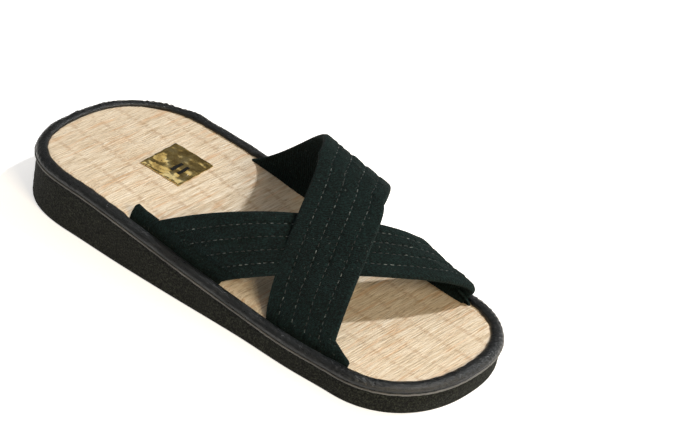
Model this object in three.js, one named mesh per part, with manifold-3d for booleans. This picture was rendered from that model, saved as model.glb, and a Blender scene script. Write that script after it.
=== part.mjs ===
// Crossed-strap sandal with a wedge foam sole, a rush mat insole and a bound edge.
// Millimetres. +X runs heel to toe, +Y is the wearer's left, +Z is up.
// The origin is on the floor, half way along the sole's outline and between its sides.
import * as THREE from 'three';
import { mergeVertices } from 'three/addons/utils/BufferGeometryUtils.js';
import Module from 'manifold-3d';

const wasm = await Module();
wasm.setup();

// ---- driving dimensions -------------------------------------------------------------
const SOLE_LENGTH = 254.6;         // bottom outline, heel end to toe end
const HEEL_ARC_START = -76.6;      // where the rounded heel begins
const TOE_ARC_START = 84.5;        // where the rounded toe begins
const HEEL_ROUNDNESS = { left: 2.2, right: 2.6 };   // superellipse powers of the heel end
const TOE_ROUNDNESS = 2.3;         // superellipse power of the toe end
const TOE_DRIFT = 2.6;             // how far the toe's tip leans to the left
const HEEL_HEIGHT = 23.6;          // foam thickness under the heel
const FOREFOOT_HEIGHT = 10.6;      // foam thickness under the ball and toes
const WEDGE_START = -87.5;         // the wedge falls from here
const WEDGE_END = 62.9;            // to here
const HEEL_LEAN = 1.5;             // how far the heel's back leans in over the foam's height
const HEEL_LEAN_START = 88;        // behind the middle, where the lean begins
const HEEL_LEAN_END = 127;         // and where it is full
const INSOLE_THICKNESS = 2.7;
const CLEARANCE = 0.3;             // air kept between neighbouring pieces
const BINDING_REACH = 5.2;         // how far the binding comes in over the mat
const BINDING_GROOVE = 1.2;        // depth at which the binding's channel ends
const BINDING_LIP = 3.0;           // how far its lower lip tucks under the board
const BINDING_LIP_THICKNESS = 1.0;
const STRAP_THICKNESS = 3.0;
const STRAP_GAP = 0.6;             // from the binding's inner edge to a strap's face
const SLOT_CLEARANCE = 0.35;
const SLOT_OVERRUN = 1.0;          // how far the slot cutter runs past the board

// The sole's wall from the tread up: offset is outward from the outline, above is measured
// from the floor or from the foam's upper face.
const SOLE_WALL = [
  { offset: -1.2, from: 'floor', above: 0 },
  { offset: -0.3, from: 'floor', above: 0.4 },
  { offset: 0, from: 'floor', above: 1.3 },
  { offset: 0, from: 'top', above: -0.8 },
  { offset: -0.5, from: 'top', above: 0 },
];

// The binding's outer roll from its lower lip to its inner edge on the mat, measured outward
// from the outline and up from the foam's upper face.
const BINDING_ROLL = [
  { offset: 0.84, above: 0.3 },
  { offset: 1.33, above: 1.2 },
  { offset: 1.4, above: 2.5 },
  { offset: 0.7, above: 3.8 },
  { offset: -0.8, above: 4.44 },
  { offset: -2.6, above: 4.62 },
  { offset: -4.4, above: 4.38 },
  { offset: -5.2, above: 3.84 },
];

// Half widths of the sole at stations along its straight stretch.
const WIDTHS = [
  { x: -76.6, left: 47.4, right: 48.9 },
  { x: -45.0, left: 48.9, right: 49.5 },
  { x: -10.0, left: 49.5, right: 49.1 },
  { x: 30.0, left: 50.9, right: 48.2 },
  { x: 60.0, left: 49.9, right: 48.7 },
  { x: 84.5, left: 48.0, right: 47.7 },
];

// Each strap is a band over an arch. Its heel-side and toe-side edges are Bezier curves in x,
// given by control values from the strap's right-hand foot to its left-hand foot.
// rise is the arch's height above the insole at ARCH_REFERENCE, slope its change per 100 mm,
// lean how far the crown moves to the left; the three powers shape its sides and crown.
const ARCH_REFERENCE = 20;
const STRAPS = [
  { // the one beneath at the crossing
    heelEdge: [-37.5, 24.2, 59.2, 76.2, 62.0],
    toeEdge: [11.4, 61.5, 97.3, 104.0, 91.1],
    rise: 45.9, slope: -33.9, lean: 9.5,
    rightPower: 0.97, leftPower: 0.98, crownPower: 0.96,
  },
  { // the one on top
    heelEdge: [40.3, 30.2, 17.5, -44.6],
    toeEdge: [78.7, 75.1, 50.9, 10.2],
    rise: 54.3, slope: -11.6, lean: 10.4,
    rightPower: 1.25, leftPower: 0.90, crownPower: 1.19,
  },
];

const FINISHES = {
  foam: { color: 0x1d1c1b, roughness: 0.85, metalness: 0 },
  rush: { color: 0xd9bd93, roughness: 0.7, metalness: 0 },
  vinyl: { color: 0x15171a, roughness: 0.4, metalness: 0 },
  cloth: { color: 0x1f2628, roughness: 0.9, metalness: 0 },
};

// ---- fineness -----------------------------------------------------------------------
const END_STEPS = 16;              // facets round each half of the heel or toe
const SIDE_STEPS = 18;             // facets along each straight side
const STRAP_STEPS = 30;            // facets over a strap's arch
const STRAP_ACROSS = 5;            // facets across a strap
const TANGENT_STEP = 0.02;         // share of the arch used to find a strap's run
const FOOT_SHARE = 0.08;           // share of the arch over which a strap turns upright
const WELD = 1e-5;                 // points closer than this are one

// ---- the sole's outline ---------------------------------------------------------------
const HALF_LENGTH = SOLE_LENGTH / 2;

function widthAt(x, side) {
  const last = WIDTHS.length - 1;
  let i = 0;
  while (i < last - 1 && x > WIDTHS[i + 1].x) {
    i += 1;
  }
  const a = WIDTHS[Math.max(i - 1, 0)][side];
  const b = WIDTHS[i][side];
  const c = WIDTHS[i + 1][side];
  const d = WIDTHS[Math.min(i + 2, last)][side];
  const t = THREE.MathUtils.clamp((x - WIDTHS[i].x) / (WIDTHS[i + 1].x - WIDTHS[i].x), 0, 1);
  const bend = (2 * a - 5 * b + 4 * c - d) * t * t + (-a + 3 * b - 3 * c + d) * t * t * t;
  return b + 0.5 * ((c - a) * t + bend);
}

function toeDrift(x) {
  const t = THREE.MathUtils.clamp((x - TOE_ARC_START) / (HALF_LENGTH - TOE_ARC_START), 0, 1);
  return TOE_DRIFT * t * t;
}

// Points of one side from the heel's tip to the toe's tip; sign is +1 left, -1 right.
function sidePoints(side, sign) {
  const points = [];
  for (let i = 0; i < END_STEPS; i += 1) {
    const angle = (Math.PI / 2) * (i / END_STEPS);
    const along = Math.cos(angle) ** (2 / HEEL_ROUNDNESS[side]);
    const out = Math.sin(angle) ** (2 / HEEL_ROUNDNESS[side]);
    const x = HEEL_ARC_START - (HALF_LENGTH + HEEL_ARC_START) * along;
    points.push(new THREE.Vector2(x, sign * widthAt(HEEL_ARC_START, side) * out));
  }
  for (let i = 0; i <= SIDE_STEPS; i += 1) {
    const x = THREE.MathUtils.lerp(HEEL_ARC_START, TOE_ARC_START, i / SIDE_STEPS);
    points.push(new THREE.Vector2(x, sign * widthAt(x, side)));
  }
  for (let i = 1; i <= END_STEPS; i += 1) {
    const angle = (Math.PI / 2) * (i / END_STEPS);
    const along = Math.sin(angle) ** (2 / TOE_ROUNDNESS);
    const out = Math.max(Math.cos(angle), 0) ** (2 / TOE_ROUNDNESS);
    const x = TOE_ARC_START + (HALF_LENGTH - TOE_ARC_START) * along;
    points.push(new THREE.Vector2(x, sign * widthAt(TOE_ARC_START, side) * out + toeDrift(x)));
  }
  return points;
}

// The closed outline runs down the right side to the toe, then back along the left side.
const LEFT = sidePoints('left', 1);
const RIGHT = sidePoints('right', -1);
const OUTLINE = [...RIGHT, ...LEFT.slice(1, -1).reverse()];

const NORMALS = OUTLINE.map((_, i) => {
  const before = OUTLINE[(i + OUTLINE.length - 1) % OUTLINE.length];
  const after = OUTLINE[(i + 1) % OUTLINE.length];
  const tangent = after.clone().sub(before).normalize();
  return new THREE.Vector2(tangent.y, -tangent.x);
});

function offsetOutline(distance) {
  return OUTLINE.map((point, i) => point.clone().addScaledVector(NORMALS[i], distance));
}

// Half width of the outline moved by distance, at any x and on one side (+1 or -1).
function halfWidth(x, sign, distance) {
  const outline = offsetOutline(distance);
  let best = 0;
  for (let i = 0; i < outline.length; i += 1) {
    const a = outline[i];
    const b = outline[(i + 1) % outline.length];
    const crosses = (a.x - x) * (b.x - x) <= 0 && a.x !== b.x;
    if (crosses) {
      const y = a.y + (b.y - a.y) * ((x - a.x) / (b.x - a.x));
      best = y * sign > 0 ? Math.abs(y) : best;
    }
  }
  return best;
}

// The back of the heel leans in as it rises.
function leaned(point, z) {
  const share = THREE.MathUtils.smoothstep(-point.x, HEEL_LEAN_START, HEEL_LEAN_END);
  return [point.x + (HEEL_LEAN * share * z) / HEEL_HEIGHT, point.y, z];
}

// Height of the foam's upper face.
function foamTop(x) {
  return THREE.MathUtils.lerp(
    HEEL_HEIGHT,
    FOREFOOT_HEIGHT,
    THREE.MathUtils.smoothstep(x, WEDGE_START, WEDGE_END),
  );
}

function insoleTop(x) {
  return foamTop(x) + CLEARANCE + INSOLE_THICKNESS;
}

// ---- making closed bodies -------------------------------------------------------------
function bodyFrom(positions, indices) {
  const geometry = new THREE.BufferGeometry();
  geometry.setAttribute('position', new THREE.Float32BufferAttribute(positions, 3));
  geometry.setIndex(indices);
  return geometry;
}

function bridge(indices, lower, upper, count) {
  for (let i = 0; i < count; i += 1) {
    const j = (i + 1) % count;
    indices.push(lower + i, lower + j, upper + j, lower + i, upper + j, upper + i);
  }
}

// A cap in strips across the shoe, from the heel's tip to the toe's tip.
function capStrips(indices, start, count, up) {
  const half = count / 2;
  const tri = (a, b, c) => indices.push(...(up ? [a, b, c] : [a, c, b]));
  for (let i = 0; i < half; i += 1) {
    const rightNow = start + i;
    const rightNext = start + i + 1;
    const leftNow = start + ((count - i) % count);
    const leftNext = start + ((count - i - 1) % count);
    if (rightNow !== leftNow) {
      tri(rightNow, rightNext, leftNow);
    }
    if (rightNext !== leftNext) {
      tri(leftNow, rightNext, leftNext);
    }
  }
}

// A slab bounded by rings, each an offset of the outline at a height z(x), listed bottom up.
function slab(rings) {
  const positions = [];
  const indices = [];
  rings.forEach((ring) => {
    offsetOutline(ring.offset).forEach((p) => positions.push(...leaned(p, ring.z(p.x))));
  });
  const count = OUTLINE.length;
  capStrips(indices, 0, count, false);
  for (let k = 0; k < rings.length - 1; k += 1) {
    bridge(indices, k * count, (k + 1) * count, count);
  }
  capStrips(indices, (rings.length - 1) * count, count, true);
  return bodyFrom(positions, indices);
}

// A band swept round the outline; section is a closed loop of {offset, above} in order.
function edgeBand(section) {
  const positions = [];
  const indices = [];
  const count = OUTLINE.length;
  section.forEach((corner) => {
    offsetOutline(corner.offset).forEach((p) => {
      positions.push(...leaned(p, foamTop(p.x) + corner.above));
    });
  });
  section.forEach((corner, k) => {
    bridge(indices, k * count, ((k + 1) % section.length) * count, count);
  });
  return bodyFrom(positions, indices);
}

// A bar through a row of closed sections with equal numbers of points.
function loft(sections) {
  const count = sections[0].length;
  const positions = sections.flat().flatMap((p) => [p.x, p.y, p.z]);
  const indices = [];
  for (let k = 0; k < sections.length - 1; k += 1) {
    bridge(indices, k * count, (k + 1) * count, count);
  }
  const last = (sections.length - 1) * count;
  for (let i = 1; i < count / 2; i += 1) {
    const a = i - 1;
    const b = i;
    const c = count - i;
    const d = count - 1 - i;
    indices.push(a, c, b);
    indices.push(last + a, last + b, last + c);
    if (b !== d) {
      indices.push(b, c, d);
      indices.push(last + b, last + d, last + c);
    }
  }
  return bodyFrom(positions, indices);
}

function toSolid(geometry) {
  const welded = mergeVertices(geometry, WELD);
  return new wasm.Manifold(new wasm.Mesh({
    numProp: 3,
    vertProperties: new Float32Array(welded.attributes.position.array),
    triVerts: new Uint32Array(welded.index.array),
  }));
}

function toGeometry(solid) {
  const mesh = solid.getMesh();
  return bodyFrom(Array.from(mesh.vertProperties), Array.from(mesh.triVerts));
}

// ---- straps -----------------------------------------------------------------------------
function bezier(values, s) {
  let row = values;
  while (row.length > 1) {
    row = row.slice(1).map((value, i) => THREE.MathUtils.lerp(row[i], value, s));
  }
  return row[0];
}

// Outer face of a strap: s runs over the arch from right (0) to left (1), w from heel to toe.
function strapPoint(strap, s, w) {
  const x = THREE.MathUtils.lerp(bezier(strap.heelEdge, s), bezier(strap.toeEdge, s), w);
  const angle = (s - 0.5) * Math.PI;
  const sine = Math.sin(angle);
  const sign = sine < 0 ? -1 : 1;
  const sideways = sign * Math.abs(sine) ** (sign < 0 ? strap.rightPower : strap.leftPower);
  const crown = Math.max(Math.cos(angle), 0) ** strap.crownPower;
  const reach = halfWidth(x, sign, -BINDING_REACH - STRAP_GAP);
  const rise = strap.rise + (strap.slope * (x - ARCH_REFERENCE)) / 100;
  return new THREE.Vector3(x, reach * sideways + strap.lean * crown, insoleTop(x) + rise * crown);
}

// Inward direction of the strap's face, level at its feet and square to its tangents above.
function strapInward(strap, s, w) {
  const before = strapPoint(strap, Math.max(s - TANGENT_STEP, 0), w);
  const after = strapPoint(strap, Math.min(s + TANGENT_STEP, 1), w);
  const across = strapPoint(strap, s, 1).sub(strapPoint(strap, s, 0));
  const square = across.cross(after.sub(before)).normalize().negate();
  const level = new THREE.Vector3(0, s < 0.5 ? 1 : -1, 0);
  const footShare = 1 - THREE.MathUtils.smoothstep(Math.min(s, 1 - s), 0, FOOT_SHARE);
  return square.lerp(level, footShare).normalize();
}

// One closed section: outer face heel to toe, then inner face back.
function strapSection(strap, s) {
  const outer = [];
  const inner = [];
  for (let i = 0; i <= STRAP_ACROSS; i += 1) {
    const w = i / STRAP_ACROSS;
    const face = strapPoint(strap, s, w);
    outer.push(face);
    inner.push(face.clone().addScaledVector(strapInward(strap, s, w), STRAP_THICKNESS));
  }
  return [...outer, ...inner.reverse()];
}

// The same section let down through the insole to a height above the foam.
function footSection(strap, s, above) {
  return strapSection(strap, s).map((p) => new THREE.Vector3(p.x, p.y, foamTop(p.x) + above));
}

function strapBody(strap) {
  const sections = [footSection(strap, 0, CLEARANCE)];
  for (let i = 0; i <= STRAP_STEPS; i += 1) {
    sections.push(strapSection(strap, i / STRAP_STEPS));
  }
  sections.push(footSection(strap, 1, CLEARANCE));
  return loft(sections);
}

// The slot that a strap's foot passes through, larger than the foot all round.
function slotBody(strap, s) {
  const corners = footSection(strap, s, 0);
  const middle = corners.reduce((sum, p) => sum.add(p), new THREE.Vector3());
  middle.divideScalar(corners.length);
  const grown = corners.map((p, i) => {
    const outerFace = i <= STRAP_ACROSS;
    const outward = s < 0.5 ? -1 : 1;
    const dy = (outerFace ? 1 : -1) * outward * SLOT_CLEARANCE;
    const atEnd = i % (STRAP_ACROSS + 1) === 0 || i % (STRAP_ACROSS + 1) === STRAP_ACROSS;
    const dx = atEnd ? Math.sign(p.x - middle.x) * SLOT_CLEARANCE : 0;
    return new THREE.Vector2(p.x + dx, p.y + dy);
  });
  const at = (above) => grown.map((p) => new THREE.Vector3(p.x, p.y, foamTop(p.x) + above));
  const bottom = at(-SLOT_OVERRUN);
  const top = at(CLEARANCE + INSOLE_THICKNESS + SLOT_OVERRUN);
  return s < 0.5 ? loft([bottom, top]) : loft([top, bottom]);
}

// ---- the pieces -------------------------------------------------------------------------
const outsole = slab(SOLE_WALL.map((ring) => ({
  offset: ring.offset,
  z: (x) => ring.above + (ring.from === 'top' ? foamTop(x) : 0),
})));

const BOARD_EDGE = -BINDING_GROOVE - CLEARANCE;
const REBATE = -BINDING_LIP - CLEARANCE;
const LIP_TOP = CLEARANCE + BINDING_LIP_THICKNESS;
const REBATE_HEIGHT = LIP_TOP + CLEARANCE;
const TOP = CLEARANCE + INSOLE_THICKNESS;
let insole = toSolid(slab([
  { offset: REBATE, z: (x) => foamTop(x) + CLEARANCE },
  { offset: REBATE, z: (x) => foamTop(x) + REBATE_HEIGHT },
  { offset: BOARD_EDGE, z: (x) => foamTop(x) + REBATE_HEIGHT },
  { offset: BOARD_EDGE, z: (x) => foamTop(x) + TOP },
]));
STRAPS.forEach((strap) => {
  insole = insole.subtract(toSolid(slotBody(strap, 0)));
  insole = insole.subtract(toSolid(slotBody(strap, 1)));
});

// Seen in section, the binding is a channel: a rounded roll outside, a flap over the mat
// and a lip tucked under the board.
const FLAP = TOP + CLEARANCE;
const edgeBinding = edgeBand([
  { offset: -BINDING_REACH, above: FLAP },
  { offset: -BINDING_GROOVE, above: FLAP },
  { offset: -BINDING_GROOVE, above: LIP_TOP },
  { offset: -BINDING_LIP, above: LIP_TOP },
  { offset: -BINDING_LIP, above: CLEARANCE },
  ...BINDING_ROLL,
]);

const [underStrap, overStrap] = STRAPS.map((strap) => toSolid(strapBody(strap)));
const upper = underStrap.add(overStrap);

function piece(name, geometry, finish) {
  geometry.computeVertexNormals();
  const mesh = new THREE.Mesh(geometry, new THREE.MeshStandardMaterial(finish));
  mesh.name = name;
  return mesh;
}

const sandal = new THREE.Group();
sandal.add(piece('outsole', outsole, FINISHES.foam));
sandal.add(piece('insole', toGeometry(insole), FINISHES.rush));
sandal.add(piece('edge_binding', edgeBinding, FINISHES.vinyl));
sandal.add(piece('upper_straps', toGeometry(upper), FINISHES.cloth));
export default sandal;
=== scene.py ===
"""Looks of a crossed-strap sandal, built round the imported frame.

The scene is in metres. The tables below are in millimetres and repeat the solids' own sizes:
+X runs heel to toe, +Y is the wearer's left, +Z is up, and the floor is z = 0.
"""

import math

import bmesh
import bpy
import numpy as np
from mathutils import Matrix, Vector


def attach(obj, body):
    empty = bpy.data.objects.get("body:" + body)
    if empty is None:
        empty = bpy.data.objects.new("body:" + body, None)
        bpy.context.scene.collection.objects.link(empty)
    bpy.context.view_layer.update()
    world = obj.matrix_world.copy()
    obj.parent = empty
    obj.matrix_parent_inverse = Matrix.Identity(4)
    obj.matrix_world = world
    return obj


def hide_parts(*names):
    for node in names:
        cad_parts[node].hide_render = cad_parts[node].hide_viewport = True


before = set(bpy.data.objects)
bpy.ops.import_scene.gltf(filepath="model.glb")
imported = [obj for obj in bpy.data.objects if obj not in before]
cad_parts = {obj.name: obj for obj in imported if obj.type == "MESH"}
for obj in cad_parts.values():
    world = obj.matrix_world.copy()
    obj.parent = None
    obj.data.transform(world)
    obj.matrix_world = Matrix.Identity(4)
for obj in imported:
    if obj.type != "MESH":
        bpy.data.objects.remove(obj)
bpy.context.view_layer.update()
MM = 0.001

# ---- the sole's outline, as in the solids -----------------------------------------------
HALF_LENGTH = 254.6 / 2
HEEL_ARC_START, TOE_ARC_START = -76.6, 84.5
HEEL_ROUNDNESS = {"left": 2.2, "right": 2.6}
TOE_ROUNDNESS = 2.3
TOE_DRIFT = 2.6
HEEL_HEIGHT, FOREFOOT_HEIGHT = 23.6, 10.6
HEEL_LEAN, HEEL_LEAN_SPAN = 1.5, (88.0, 127.0)
WEDGE_START, WEDGE_END = -87.5, 62.9
MAT_TOP = 3.0                      # the mat's face above the foam
SLIT = 0.3                         # air kept between neighbouring pieces
STRAP_INSET = 5.8                  # the straps' faces stand this far inside the outline
STATIONS = np.array([-76.6, -45.0, -10.0, 30.0, 60.0, 84.5])
WIDTHS = {
    "left": np.array([47.4, 48.9, 49.5, 50.9, 49.9, 48.0]),
    "right": np.array([48.9, 49.5, 49.1, 48.2, 48.7, 47.7]),
}
SIDE_POINTS = 320                  # edges along each side, heel tip to toe tip
CURVE_STEPS = 400                  # samples of each stretch before it is spaced evenly

# ---- straps, as in the solids -------------------------------------------------------------
ARCH_REFERENCE = 20.0
STRAP_THICKNESS = 3.0
STRAPS = {
    "under": dict(
        heel=[-37.5, 24.2, 59.2, 76.2, 62.0], toe=[11.4, 61.5, 97.3, 104.0, 91.1],
        rise=45.9, slope=-33.9, lean=9.5, right=0.97, left=0.98, crown=0.96,
    ),
    "over": dict(
        heel=[40.3, 30.2, 17.5, -44.6], toe=[78.7, 75.1, 50.9, 10.2],
        rise=54.3, slope=-11.6, lean=10.4, right=1.25, left=0.90, crown=1.19,
    ),
}


def smooth(x, low, high):
    t = np.clip((x - low) / (high - low), 0, 1)
    return t * t * (3 - 2 * t)


def foam_top(x):
    return HEEL_HEIGHT + (FOREFOOT_HEIGHT - HEEL_HEIGHT) * smooth(x, WEDGE_START, WEDGE_END)


def width_at(x, side):
    ys = WIDTHS[side]
    last = len(STATIONS) - 1
    i = np.clip(np.searchsorted(STATIONS, x, side="right") - 1, 0, last - 1)
    a, b, c, d = ys[np.maximum(i - 1, 0)], ys[i], ys[i + 1], ys[np.minimum(i + 2, last)]
    t = np.clip((x - STATIONS[i]) / (STATIONS[i + 1] - STATIONS[i]), 0, 1)
    bend = (2 * a - 5 * b + 4 * c - d) * t**2 + (-a + 3 * b - 3 * c + d) * t**3
    return b + 0.5 * ((c - a) * t + bend)


def along(points, count):
    """The same line with count + 1 points, evenly spaced."""
    length = np.concatenate([[0], np.cumsum(np.linalg.norm(np.diff(points, axis=0), axis=1))])
    at = np.linspace(0, length[-1], count + 1)
    return np.stack([np.interp(at, length, points[:, k]) for k in range(points.shape[1])], 1)


def side_line(side, sign):
    angle = np.linspace(0, math.pi / 2, CURVE_STEPS)
    power = 2 / HEEL_ROUNDNESS[side]
    heel_x = HEEL_ARC_START - (HALF_LENGTH + HEEL_ARC_START) * np.abs(np.cos(angle)) ** power
    heel_y = width_at(np.array(HEEL_ARC_START), side) * np.sin(angle) ** power
    mid_x = np.linspace(HEEL_ARC_START, TOE_ARC_START, CURVE_STEPS)[1:-1]
    power = 2 / TOE_ROUNDNESS
    toe_reach = HALF_LENGTH - TOE_ARC_START
    toe_x = TOE_ARC_START + toe_reach * np.sin(angle) ** power
    toe_y = width_at(np.array(TOE_ARC_START), side) * np.abs(np.cos(angle)) ** power
    drift = TOE_DRIFT * np.clip((toe_x - TOE_ARC_START) / toe_reach, 0, 1) ** 2
    x = np.concatenate([heel_x, mid_x, toe_x])
    y = np.concatenate([heel_y * sign, width_at(mid_x, side) * sign, toe_y * sign + drift])
    return along(np.stack([x, y], 1), SIDE_POINTS)


RIGHT = side_line("right", -1)
LEFT = side_line("left", 1)
OUTLINE = np.concatenate([RIGHT, LEFT[1:-1][::-1]])
RING = len(OUTLINE)
TANGENTS = np.roll(OUTLINE, -1, 0) - np.roll(OUTLINE, 1, 0)
TANGENTS /= np.linalg.norm(TANGENTS, axis=1)[:, None]
NORMALS = np.stack([TANGENTS[:, 1], -TANGENTS[:, 0]], 1)
TURN = math.tau * np.arange(RING) / RING   # angle round the outline, from the heel's tip


def offset(distance):
    return OUTLINE + NORMALS * np.reshape(distance, (-1, 1))


def edge_y(x, sign, distance):
    """y of the outline moved by distance, at any x, on the left (+1) or right (-1) side."""
    line = offset(distance)
    if sign < 0:
        part = line[: SIDE_POINTS + 1]
    else:
        part = np.concatenate([line[:1], line[SIDE_POINTS:][::-1]])
    return np.interp(x, part[:, 0], part[:, 1])


LUMP_SPREAD = (0.7, 1.6)           # a field's wave lengths, as shares of its lump size


def ripple(t, seed, waves, low, high):
    """A smooth random line of t, about -1 to 1, made of waves between two rates."""
    rng = np.random.default_rng(seed)
    total = np.zeros_like(t, dtype=float)
    for _ in range(waves):
        total += np.sin(t * rng.uniform(low, high) + rng.uniform(0, math.tau))
    return total / math.sqrt(waves)


def wave_field(x, y, seed, waves, size):
    """A smooth random field, about -1 to 1, with lumps of about that size."""
    rng = np.random.default_rng(seed)
    total = np.zeros_like(x, dtype=float)
    for _ in range(waves):
        turn = rng.uniform(0, math.tau)
        rate = math.tau / (size * rng.uniform(*LUMP_SPREAD))
        total += np.sin((x * math.cos(turn) + y * math.sin(turn)) * rate + rng.uniform(0, math.tau))
    return total / math.sqrt(waves)


# ---- meshes ---------------------------------------------------------------------------------
def link(name, data):
    obj = bpy.data.objects.new(name, data)
    bpy.context.scene.collection.objects.link(obj)
    return obj


def lean_heel(points):
    """The back of the heel leans in as it rises."""
    points = np.array(points, float)
    points[:, 0] += HEEL_LEAN * smooth(-points[:, 0], *HEEL_LEAN_SPAN) * points[:, 2] / HEEL_HEIGHT
    return points


def make_object(name, points, faces, material, smooth_angle=None):
    """A closed piece on the shoe's body from points in mm, with its faces turned outward."""
    mesh = bpy.data.meshes.new(name)
    mesh.from_pydata((lean_heel(points) * MM).tolist(), [], [list(map(int, f)) for f in faces])
    shell = bmesh.new()
    shell.from_mesh(mesh)
    bmesh.ops.recalc_face_normals(shell, faces=shell.faces)
    shell.to_mesh(mesh)
    shell.free()
    mesh.polygons.foreach_set("use_smooth", [True] * len(mesh.polygons))
    if smooth_angle is not None:
        mesh.set_sharp_from_angle(angle=math.radians(smooth_angle))
    mesh.materials.append(material)
    obj = link(name, mesh)
    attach(obj, "root")
    return obj


def bridge_rings(rows, count):
    """Faces between rings of equal count, each joined to the next."""
    faces = []
    for k in range(rows - 1):
        low, high = k * count, (k + 1) * count
        for i in range(count):
            j = (i + 1) % count
            faces.append((low + i, low + j, high + j, high + i))
    return faces


def cap_across(start):
    """A cap in strips across the shoe, over one ring."""
    faces = []
    for i in range(SIDE_POINTS):
        right = [start + i, start + i + 1]
        left = [start + (RING - i - 1) % RING, start + (RING - i) % RING]
        faces.append(list(dict.fromkeys(right + left)))
    return faces


def sheet_faces(rows, columns):
    """Faces that close a sheet: a grid of points, then the same grid on its other side."""
    index = np.arange(rows * columns).reshape(rows, columns)
    quads = [index[:-1, :-1], index[1:, :-1], index[1:, 1:], index[:-1, 1:]]
    quads = np.stack(quads, -1).reshape(-1, 4)
    rim = np.concatenate([index[:, 0], index[-1, 1:], index[-2::-1, -1], index[0, -2:0:-1]])
    ahead = np.roll(rim, -1)
    walls = np.stack([ahead, rim, rim + index.size, ahead + index.size], -1)
    return np.concatenate([quads, quads[:, ::-1] + index.size, walls])


def thin_sheet(top, thickness):
    """A closed sheet below a grid of points."""
    face = top.reshape(-1, 3)
    return np.concatenate([face, face - (0, 0, thickness)]), sheet_faces(*top.shape[:2])


def rings_to_points(rings):
    return np.concatenate([np.column_stack([xy, z]) for xy, z in rings])


# ---- materials ------------------------------------------------------------------------------
class Nodes:
    """A short way to write a node material."""

    def __init__(self, name):
        self.material = bpy.data.materials.new(name)
        self.material.use_nodes = True
        self.tree = self.material.node_tree
        self.shader = self.tree.nodes["Principled BSDF"]
        self.place = self.add("ShaderNodeTexCoord").outputs["Object"]

    def add(self, kind, inputs=None, **settings):
        node = self.tree.nodes.new(kind)
        for key, value in settings.items():
            setattr(node, key, value)
        for key, value in (inputs or {}).items():
            self.put(node.inputs[key], value)
        return node

    def put(self, socket, value):
        if isinstance(value, bpy.types.NodeSocket):
            self.tree.links.new(value, socket)
        else:
            socket.default_value = value

    def set(self, **inputs):
        for key, value in inputs.items():
            self.put(self.shader.inputs[key.replace("_", " ")], value)

    def scaled(self, scale, turn=(0, 0, 0)):
        inputs = {"Vector": self.place, "Scale": scale, "Rotation": turn}
        return self.add("ShaderNodeMapping", inputs).outputs[0]

    def noise(self, vector, scale, detail=3.0, rough=0.55):
        inputs = {"Vector": vector, "Scale": scale, "Detail": detail, "Roughness": rough}
        return self.add("ShaderNodeTexNoise", inputs).outputs["Fac"]

    def ramp(self, value, stops):
        node = self.add("ShaderNodeValToRGB", {"Fac": value})
        line = node.color_ramp
        while len(line.elements) < len(stops):
            line.elements.new(0.5)
        for element, (at, colour) in zip(line.elements, stops):
            element.position = at
            shade = (colour,) * 3 if isinstance(colour, (int, float)) else colour
            element.color = (*shade, 1)
        return node.outputs["Color"]

    def mix(self, share, first, second, kind="MIX"):
        node = self.add("ShaderNodeMix", data_type="RGBA", blend_type=kind)
        self.put(node.inputs["Factor"], share)
        self.put(node.inputs[6], (*first, 1) if isinstance(first, tuple) else first)
        self.put(node.inputs[7], (*second, 1) if isinstance(second, tuple) else second)
        return node.outputs[2]

    def math(self, kind, a, b=0.0):
        node = self.add("ShaderNodeMath", operation=kind)
        self.put(node.inputs[0], a)
        self.put(node.inputs[1], b)
        return node.outputs[0]

    def bump(self, height, strength, distance, base=None):
        node = self.add("ShaderNodeBump", {"Height": height, "Strength": strength, "Distance": distance})
        if base is not None:
            self.put(node.inputs["Normal"], base)
        return node.outputs[0]


# Colours along each material's noise, as (place, linear colour).
FOAM_TONES = [
    (0.43, (0.0004, 0.0006, 0.0004)), (0.51, (0.0028, 0.0036, 0.0024)), (0.60, (0.028, 0.0320, 0.0230)),
]
FOAM_DUST = (0.003, 0.0036, 0.003)
VINYL_TONES = [(0.3, (0.0006, 0.0016, 0.0024)), (0.7, (0.003, 0.0055, 0.0075))]
# The lip's vinyl is far lighter than the roll's: a painted highlight along the binding's lower edge.
LIP_HIGHLIGHT_TONES = [(0.3, (0.05, 0.05, 0.048)), (0.7, (0.12, 0.118, 0.112))]
# Lighter streaks along the binding: painted streaky highlights.
VINYL_STREAK_HIGHLIGHT = (0.075, 0.075, 0.078)
RUSH_TINT = (0.88, 0.92, 1.0)
STRAND_TONES = [
    (0.0, (0.56, 0.42, 0.26)), (0.3, (0.74, 0.59, 0.41)), (0.8, (0.83, 0.70, 0.52)),
    (1.0, (0.76, 0.58, 0.38)),
]
FIBRE_TONES = [
    (0.32, (0.20, 0.12, 0.06)), (0.44, (0.66, 0.51, 0.33)), (0.60, (0.90, 0.78, 0.60)),
    (0.72, (0.98, 0.90, 0.75)),
]
RUSTY_STREAK = (0.66, 0.36, 0.16)
DARK_FIBRE = (0.26, 0.15, 0.07)
WARP_TICK = (0.40, 0.23, 0.11)
PALE_PATCH = (0.84, 0.70, 0.50)
CLOTH_LOW, CLOTH_HIGH = (0.0001, 0.0005, 0.0005), (0.0065, 0.0195, 0.0195)
CLOTH_TONES = [(0.45, CLOTH_LOW), (0.53, tuple(0.45 * c for c in CLOTH_HIGH)), (0.60, CLOTH_HIGH)]
CLOTH_LINT = (0.075, 0.085, 0.082)
# The thread's grey from dark to pale; the palest stop is painted glints on the stitches.
THREAD_AND_GLINT_TONES = [
    (0.42, (0.003, 0.006, 0.006)), (0.55, (0.020, 0.028, 0.030)), (0.68, (0.17, 0.20, 0.20)),
]
# The foil's gold in patches from olive to pale: its tone with painted reflections, dark and bright.
FOIL_GOLD_AND_REFLECTION_TONES = [(0.40, (0.58, 0.42, 0.15)), (0.50, (0.88, 0.66, 0.24)), (0.62, (1.0, 0.84, 0.42))]
RUSH_TURN = math.radians(3.0)      # the strands' heading, from square across the shoe
RUSH_PITCH = 1.35                  # from strand to strand
WARP_PITCH = 15.0                  # from one lengthwise thread to the next


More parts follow.
